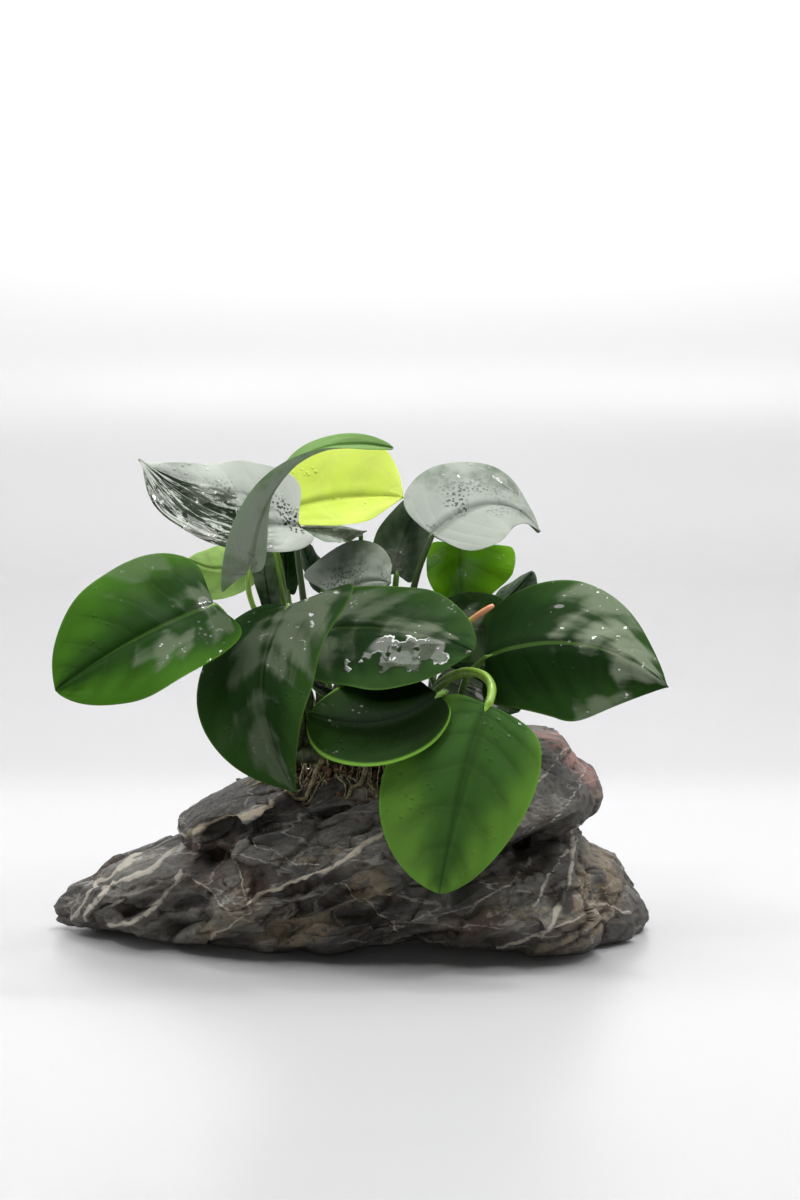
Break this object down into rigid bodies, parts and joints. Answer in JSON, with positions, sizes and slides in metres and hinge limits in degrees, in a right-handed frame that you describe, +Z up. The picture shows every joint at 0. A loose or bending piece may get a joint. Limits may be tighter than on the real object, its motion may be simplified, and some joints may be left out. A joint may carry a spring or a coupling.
{
  "type": "anubias plant on stone",
  "caption": "Broad-leaved water plant with a creeping rhizome, rooted on a long layered stone that rests on a flat underside.",
  "frame": {"origin": "on the surface that the stone rests on, below the middle of the stone", "axes": "+X along the stone's length towards its upright end, -Y towards the front, +Z up"},
  "size_m": [0.183, 0.1062, 0.1531],
  "materials": {
    "stone": "rough grey layered limestone with pale veins and rust",
    "leaf": "wet dark green leaf with a glossy skin",
    "young_leaf": "bright green leaf, a little light comes through",
    "new_leaf": "thin yellow-green leaf, light comes through",
    "stalk": "smooth green stalk",
    "rhizome": "knobbly olive stem with old leaf rings",
    "root": "pale tan root"
  },
  "bodies": {
    "root": {"stone": "stone", "rhizome": "rhizome", "cut_stalk": "stalk", "root_1": "root", "root_2": "root", "root_3": "root", "root_4": "root", "root_5": "root", "blade_left": "leaf", "stalk_left": "stalk", "blade_front_left": "leaf", "stalk_front_left": "stalk", "blade_middle": "leaf", "stalk_middle": "stalk", "blade_small_middle": "leaf", "stalk_small_middle": "stalk", "blade_right": "leaf", "stalk_right": "stalk", "blade_hanging": "young_leaf", "stalk_hanging": "stalk", "blade_cupped": "leaf", "stalk_cupped": "stalk", "blade_top_left": "leaf", "stalk_top_left": "stalk", "blade_arching": "young_leaf", "stalk_arching": "stalk", "blade_yellow": "new_leaf", "stalk_yellow": "stalk", "blade_top_right": "leaf", "stalk_top_right": "stalk", "blade_back_left": "young_leaf", "stalk_back_left": "stalk", "blade_back_right": "young_leaf", "stalk_back_right": "stalk", "blade_back_middle": "leaf", "stalk_back_middle": "stalk", "blade_back_tip": "leaf", "stalk_back_tip": "stalk", "blade_behind_right": "leaf", "stalk_behind_right": "stalk", "blade_low_right": "leaf", "stalk_low_right": "stalk", "blade_under_yellow": "leaf", "stalk_under_yellow": "stalk", "blade_dark_back": "leaf", "stalk_dark_back": "stalk", "blade_pale_back": "leaf", "stalk_pale_back": "stalk", "blade_speckled": "leaf", "stalk_speckled": "stalk", "blade_furled": "leaf", "stalk_furled": "stalk"}
  },
  "joints": []
}
